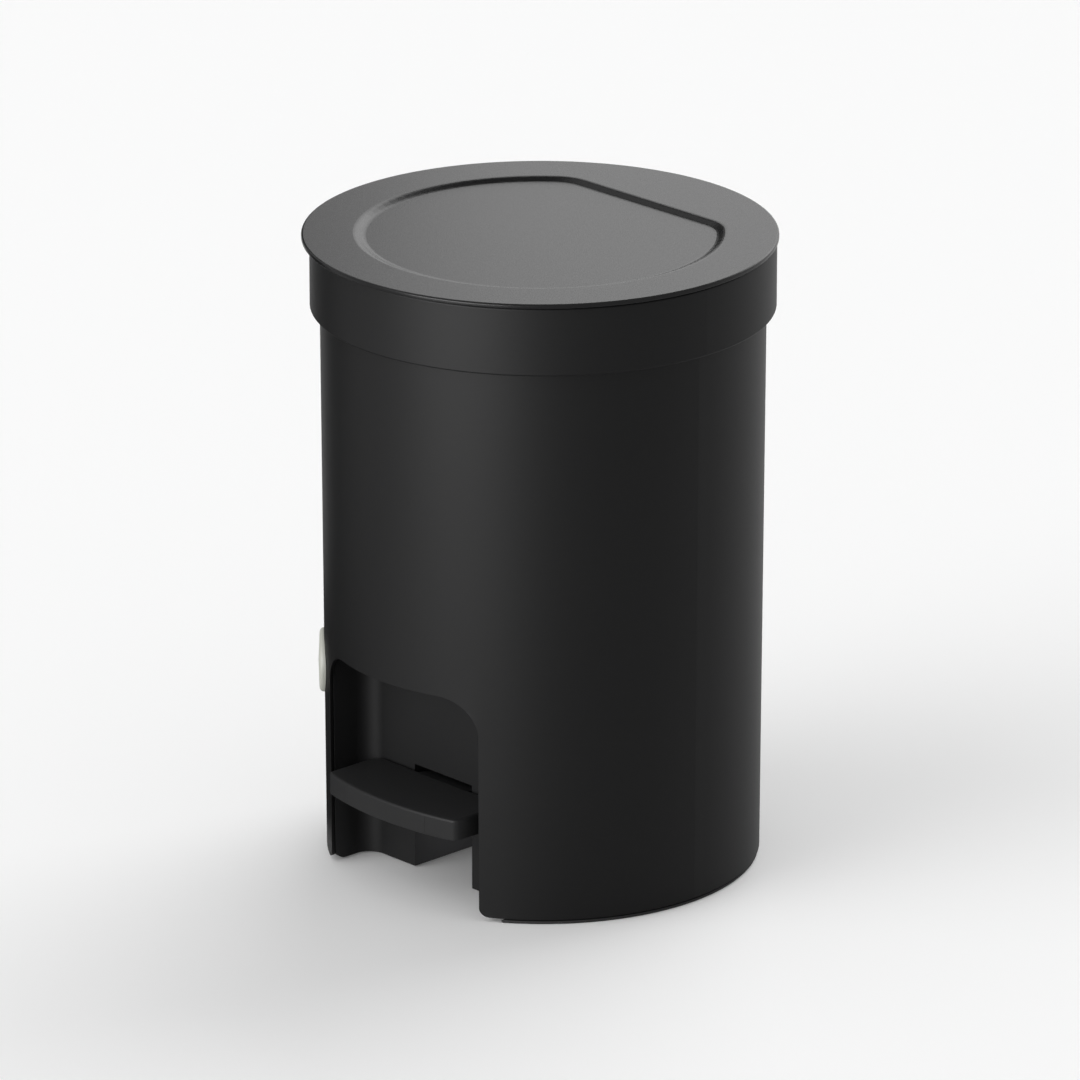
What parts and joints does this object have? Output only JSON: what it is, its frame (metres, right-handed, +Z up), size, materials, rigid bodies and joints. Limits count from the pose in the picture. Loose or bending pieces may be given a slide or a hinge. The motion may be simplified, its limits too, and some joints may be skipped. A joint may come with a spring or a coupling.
{
  "type": "round pedal bin",
  "caption": "Round waste bin with a pedal in a front recess, a rod-driven hinged lid with a dished top, a rim collar and a lift-out bucket with a bail.",
  "frame": {"origin": "centre of the bin's foot on the floor, under the middle of its overall box", "axes": "+Z up from the floor to the lid, -Y towards the front where the pedal is"},
  "size_m": [0.2049, 0.208, 0.2826],
  "materials": {
    "body_plastic": "satin black moulded plastic",
    "collar_plastic": "satin black moulded plastic",
    "lid_plastic": "satin black moulded plastic with a fine texture",
    "frame_plastic": "dull black moulded plastic",
    "pedal_plastic": "satin black moulded plastic",
    "bucket_plastic": "dull dark grey moulded plastic",
    "foot_rubber": "dull black rubber",
    "bumper_rubber": "pale cream rubber, soft sheen",
    "bushing_plastic": "off-white acetal, satin",
    "bright_steel": "zinc-plated steel wire, drawn",
    "clip_steel": "plated pressed steel",
    "screw_steel": "zinc-plated steel"
  },
  "bodies": {
    "housing": {"outer_shell": "body_plastic", "rim_collar": "collar_plastic", "base_frame": "frame_plastic", "foot_ring": "foot_rubber", "base_screws": "screw_steel", "pedal_axle": "bright_steel", "axle_clips": "clip_steel", "hinge_pin": "bright_steel", "hinge_caps": "clip_steel", "lower_bushing": "bushing_plastic", "upper_bushing": "bushing_plastic", "side_bumper": "bumper_rubber"},
    "lid": {"lid": "lid_plastic", "lid_bumpers": "foot_rubber", "hinge_arm": "frame_plastic", "hinge_screws": "screw_steel"},
    "pedal": {"pedal": "pedal_plastic", "pedal_bushes": "bushing_plastic"},
    "rod": {"push_rod": "bright_steel", "rod_clips": "clip_steel"},
    "bucket": {"inner_bucket": "bucket_plastic"},
    "bail": {"bail_handle": "bright_steel", "bail_grip": "frame_plastic"}
  },
  "joints": [
    {"name": "lid_hinge", "type": "hinge", "parent": "housing", "child": "lid", "pos_m": [0, 0.09846, 0.2733], "axis": [-1, 0, 0], "range_deg": [0, 76]},
    {"name": "pedal_press", "type": "hinge", "parent": "housing", "child": "pedal", "pos_m": [0, 0.01, 0.027], "axis": [1, 0, 0], "range_deg": [0, 14]},
    {"name": "rod_slide", "type": "slide", "parent": "housing", "child": "rod", "axis": [0, 0, 1], "range_m": [0, 0.01877]},
    {"name": "bucket_lift", "type": "slide", "parent": "housing", "child": "bucket", "axis": [0, 0, 1], "range_m": [0, 0.008]},
    {"name": "bail_fold", "type": "hinge", "parent": "bucket", "child": "bail", "pos_m": [0, 0, 0.25845], "axis": [-1, 0, 0], "range_deg": [0, 4]}
  ],
  "couplings": [
    {"joint": "pedal_press", "follows": "lid_hinge", "ratio": 0.18404},
    {"joint": "rod_slide", "follows": "lid_hinge", "m_per_rad": 0.014143}
  ]
}
